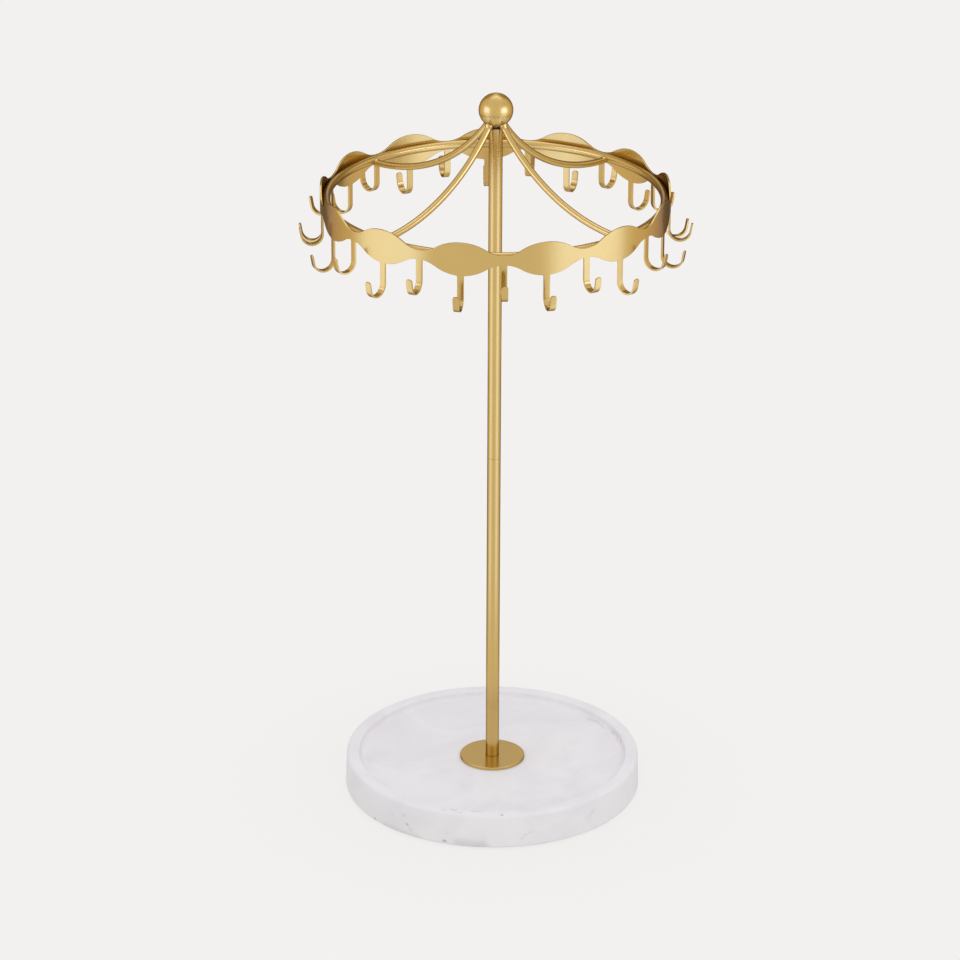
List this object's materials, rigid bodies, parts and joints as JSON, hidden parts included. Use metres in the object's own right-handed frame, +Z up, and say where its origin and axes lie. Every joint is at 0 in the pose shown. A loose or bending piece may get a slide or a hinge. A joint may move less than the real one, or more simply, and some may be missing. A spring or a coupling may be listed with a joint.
{
  "type": "rotating necklace stand",
  "caption": "Free-standing necklace stand: slim pole on a round cast tray, with a turning wire canopy and scalloped hook band under a ball finial.",
  "frame": {"origin": "on the ground at the middle of the tray", "axes": "+Z up along the pole; -Y towards the front waist of the band; +X to the right of the front"},
  "size_m": [0.2278, 0.2292, 0.4409],
  "materials": {
    "gold_coat": "satin gold coating on steel",
    "cast_stone": "matt off-white cast stone",
    "foam_pad": "matt foam rubber",
    "steel": "plain zinc-plated",
    "brass_insert": "turned",
    "nylon": "moulded, dark"
  },
  "bodies": {
    "stand": {"tray": "cast_stone", "tray_pad_1": "foam_pad", "tray_pad_2": "foam_pad", "tray_pad_3": "foam_pad", "tray_pad_4": "foam_pad", "foot_disc": "gold_coat", "lower_tube": "gold_coat", "upper_tube": "gold_coat", "foot_insert": "brass_insert", "seam_insert_lower": "brass_insert", "seam_insert_upper": "brass_insert", "joiner_stud": "steel", "base_washer": "steel", "base_bolt": "steel", "top_bush": "nylon"},
    "carousel": {"spindle": "steel", "spindle_clip": "steel", "ball_finial": "gold_coat", "ring_wire": "gold_coat", "scalloped_band": "gold_coat", "rib_1": "gold_coat", "rib_2": "gold_coat", "rib_3": "gold_coat", "rib_4": "gold_coat", "hook_waist_01": "gold_coat", "hook_lobe_01": "gold_coat", "hook_waist_02": "gold_coat", "hook_lobe_02": "gold_coat", "hook_waist_03": "gold_coat", "hook_lobe_03": "gold_coat", "hook_waist_04": "gold_coat", "hook_lobe_04": "gold_coat", "hook_waist_05": "gold_coat", "hook_lobe_05": "gold_coat", "hook_waist_06": "gold_coat", "hook_lobe_06": "gold_coat", "hook_waist_07": "gold_coat", "hook_lobe_07": "gold_coat", "hook_waist_08": "gold_coat", "hook_lobe_08": "gold_coat", "hook_waist_09": "gold_coat", "hook_lobe_09": "gold_coat", "hook_waist_10": "gold_coat", "hook_lobe_10": "gold_coat", "hook_waist_11": "gold_coat", "hook_lobe_11": "gold_coat", "hook_waist_12": "gold_coat", "hook_lobe_12": "gold_coat", "hook_waist_13": "gold_coat", "hook_lobe_13": "gold_coat"}
  },
  "joints": [
    {"name": "carousel_spin", "type": "hinge", "parent": "stand", "child": "carousel", "pos_m": [0, 0, 0.4203], "axis": [0, 0, 1], "continuous": true}
  ]
}
